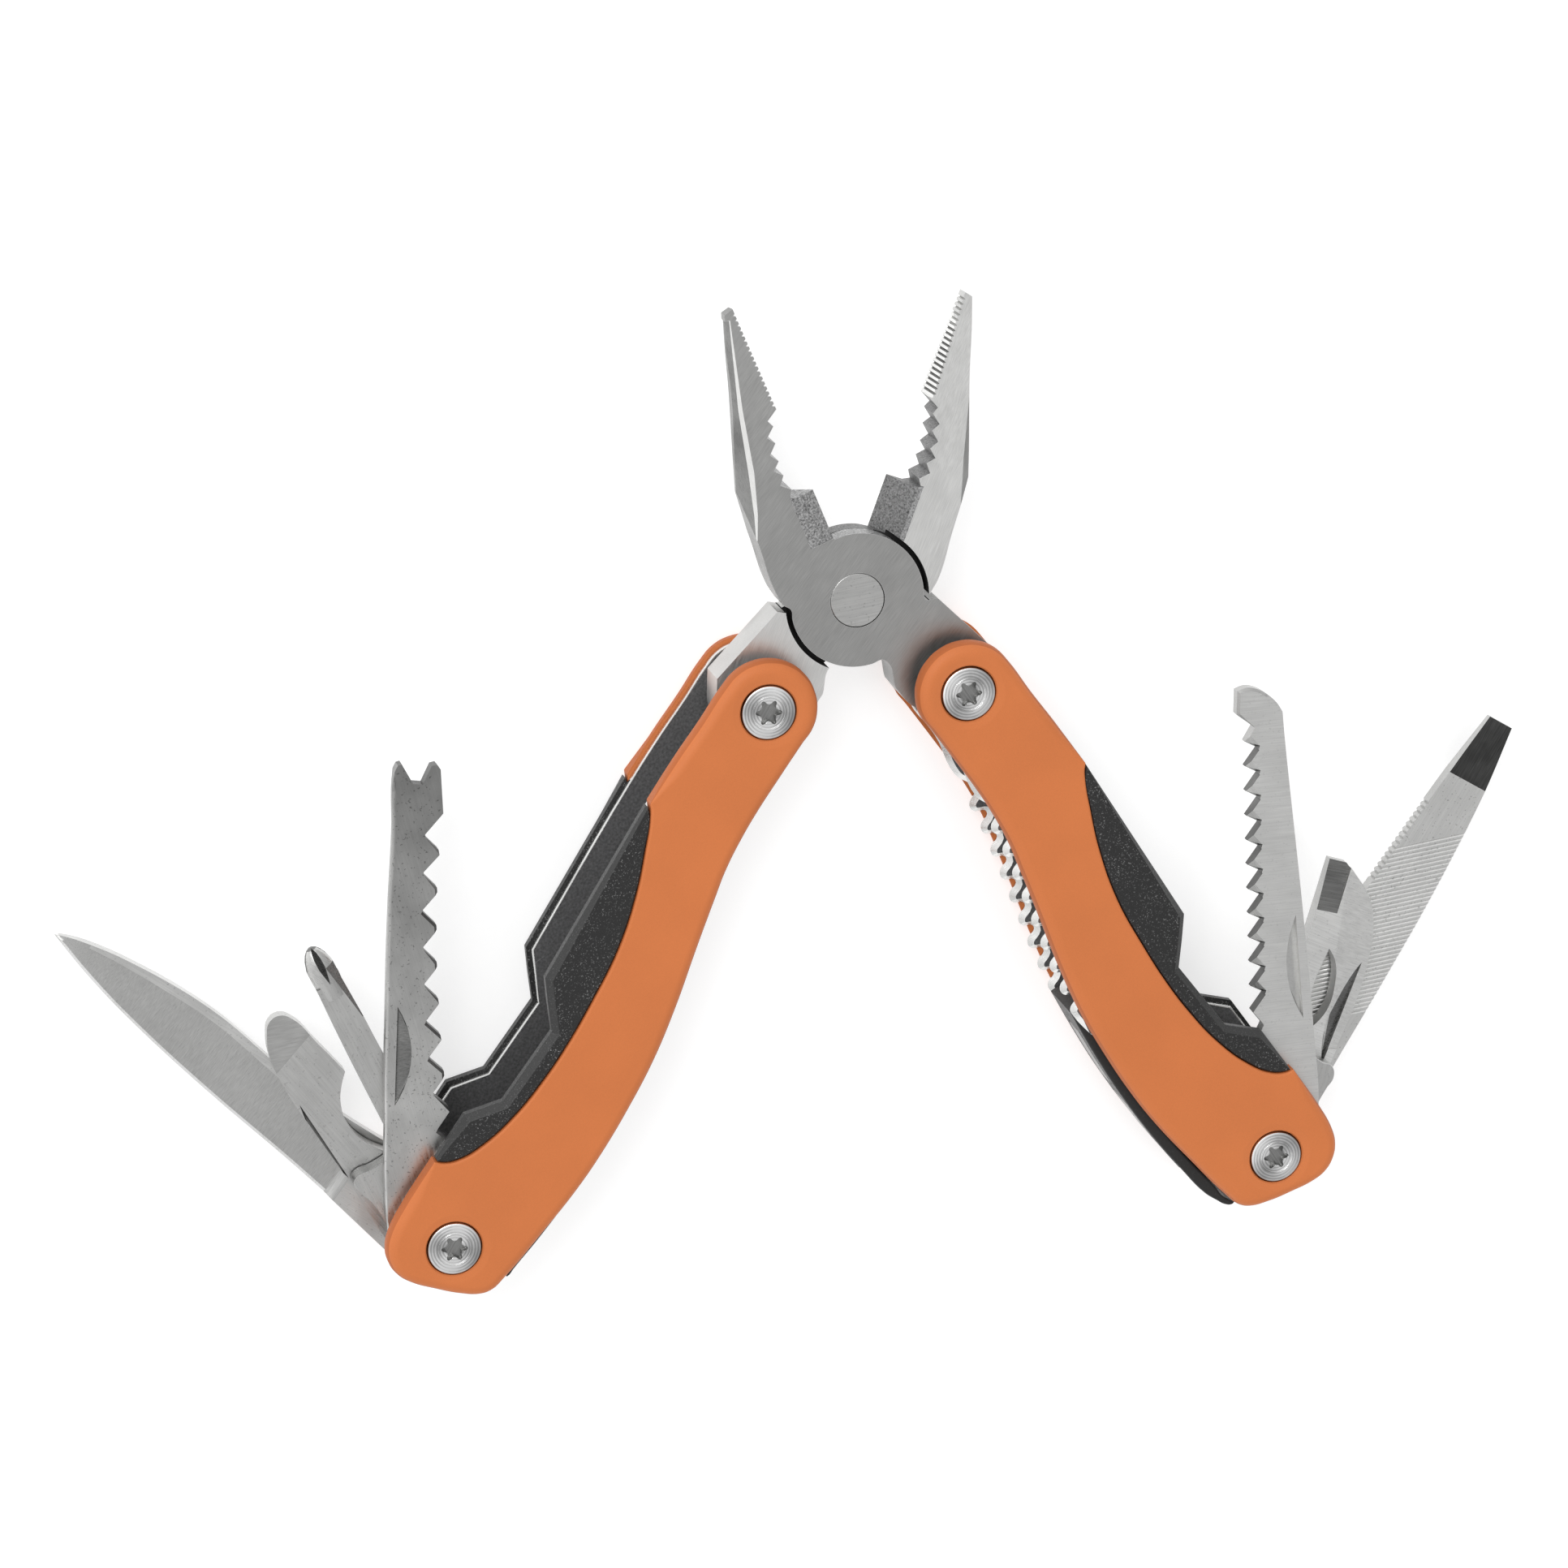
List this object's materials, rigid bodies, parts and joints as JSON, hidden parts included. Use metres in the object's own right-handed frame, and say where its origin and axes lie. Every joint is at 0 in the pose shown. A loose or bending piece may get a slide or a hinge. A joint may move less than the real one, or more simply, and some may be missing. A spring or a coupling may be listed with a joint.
{
  "type": "multi tool",
  "caption": "Folding pocket multi tool: long-nose pliers on two orange handles, each holding fold-out tools such as a knife, saw, file and openers.",
  "frame": {"origin": "middle of the footprint, on the plane of the back scales' outer faces", "axes": "+X to the right across the opened tool, +Y towards the jaw tips, +Z out of the front face, up off the surface that the tool lies on"},
  "size_m": [0.2258, 0.1472, 0.0178],
  "materials": {
    "orange_grip": "matte",
    "black_insert": "matte",
    "black_spine": "satin",
    "blackened_liner": "satin",
    "brushed_jaw": "satin",
    "blade_steel": "satin",
    "polished_steel": "polished",
    "bronze_washer": "satin"
  },
  "bodies": {
    "front_jaw": {"front_jaw": "brushed_jaw", "plier_rivet": "polished_steel"},
    "back_jaw": {"back_jaw": "brushed_jaw"},
    "left_handle": {"left_front_scale": "orange_grip", "left_back_scale": "orange_grip", "left_front_insert": "black_insert", "left_back_insert": "black_insert", "left_front_liner": "blackened_liner", "left_back_liner": "blackened_liner", "left_front_head_washer": "polished_steel", "left_back_head_washer": "polished_steel", "left_spine": "black_spine", "left_spring": "polished_steel", "left_head_barrel": "polished_steel", "left_head_screw": "polished_steel", "left_tail_barrel": "polished_steel", "left_tail_screw": "polished_steel", "left_tool_washer_1": "bronze_washer", "left_tool_washer_2": "bronze_washer", "left_tool_washer_3": "bronze_washer"},
    "fish_scaler": {"fish_scaler": "blade_steel"},
    "phillips_driver": {"phillips_driver": "blade_steel"},
    "can_opener": {"can_opener": "blade_steel"},
    "knife_blade": {"knife_blade": "blade_steel"},
    "right_handle": {"right_front_scale": "orange_grip", "right_back_scale": "orange_grip", "right_front_insert": "black_insert", "right_back_insert": "black_insert", "right_front_liner": "blackened_liner", "right_back_liner": "blackened_liner", "right_front_head_washer": "polished_steel", "right_back_head_washer": "polished_steel", "right_spine": "black_spine", "right_spring": "polished_steel", "right_head_barrel": "polished_steel", "right_head_screw": "polished_steel", "right_tail_barrel": "polished_steel", "right_tail_screw": "polished_steel", "right_tool_washer_1": "bronze_washer", "right_tool_washer_2": "bronze_washer", "right_tool_washer_3": "bronze_washer"},
    "wood_saw": {"wood_saw": "blade_steel"},
    "lanyard_plate": {"lanyard_plate": "blade_steel"},
    "bottle_opener": {"bottle_opener": "blade_steel"},
    "file_driver": {"file_driver": "blade_steel"}
  },
  "joints": [
    {"name": "pliers_pivot", "type": "hinge", "parent": "front_jaw", "child": "back_jaw", "pos_m": [0.00595, 0.02855, 0.0089], "axis": [0, 0, 1], "range_deg": [0, 42]},
    {"name": "left_handle_pivot", "type": "hinge", "parent": "back_jaw", "child": "left_handle", "pos_m": [-0.00897, 0.01405, 0.0089], "axis": [0, 0, -1], "range_deg": [0, 167.5]},
    {"name": "fish_scaler_pivot", "type": "hinge", "parent": "left_handle", "child": "fish_scaler", "pos_m": [-0.05722, -0.06546, 0.0089], "axis": [0, 0, -1], "range_deg": [-145, 35]},
    {"name": "phillips_driver_pivot", "type": "hinge", "parent": "left_handle", "child": "phillips_driver", "pos_m": [-0.05722, -0.06546, 0.0089], "axis": [0, 0, -1], "range_deg": [-122.75, 57.25]},
    {"name": "can_opener_pivot", "type": "hinge", "parent": "left_handle", "child": "can_opener", "pos_m": [-0.05722, -0.06546, 0.0089], "axis": [0, 0, -1], "range_deg": [-109.75, 70.25]},
    {"name": "knife_blade_pivot", "type": "hinge", "parent": "left_handle", "child": "knife_blade", "pos_m": [-0.05722, -0.06546, 0.0089], "axis": [0, 0, -1], "range_deg": [-95.75, 84.25]},
    {"name": "right_handle_pivot", "type": "hinge", "parent": "front_jaw", "child": "right_handle", "pos_m": [0.0215, 0.01468, 0.0089], "axis": [0, 0, 1], "range_deg": [0, 167.5]},
    {"name": "wood_saw_pivot", "type": "hinge", "parent": "right_handle", "child": "wood_saw", "pos_m": [0.07181, -0.06354, 0.0089], "axis": [0, 0, 1], "range_deg": [-148.75, 31.25]},
    {"name": "lanyard_plate_pivot", "type": "hinge", "parent": "right_handle", "child": "lanyard_plate", "pos_m": [0.07181, -0.06354, 0.0089], "axis": [0, 0, 1], "range_deg": [-131.25, 48.75]},
    {"name": "bottle_opener_pivot", "type": "hinge", "parent": "right_handle", "child": "bottle_opener", "pos_m": [0.07181, -0.06354, 0.0089], "axis": [0, 0, 1], "range_deg": [-123.25, 56.75]},
    {"name": "file_driver_pivot", "type": "hinge", "parent": "right_handle", "child": "file_driver", "pos_m": [0.07181, -0.06354, 0.0089], "axis": [0, 0, 1], "range_deg": [-116.25, 63.75]}
  ]
}
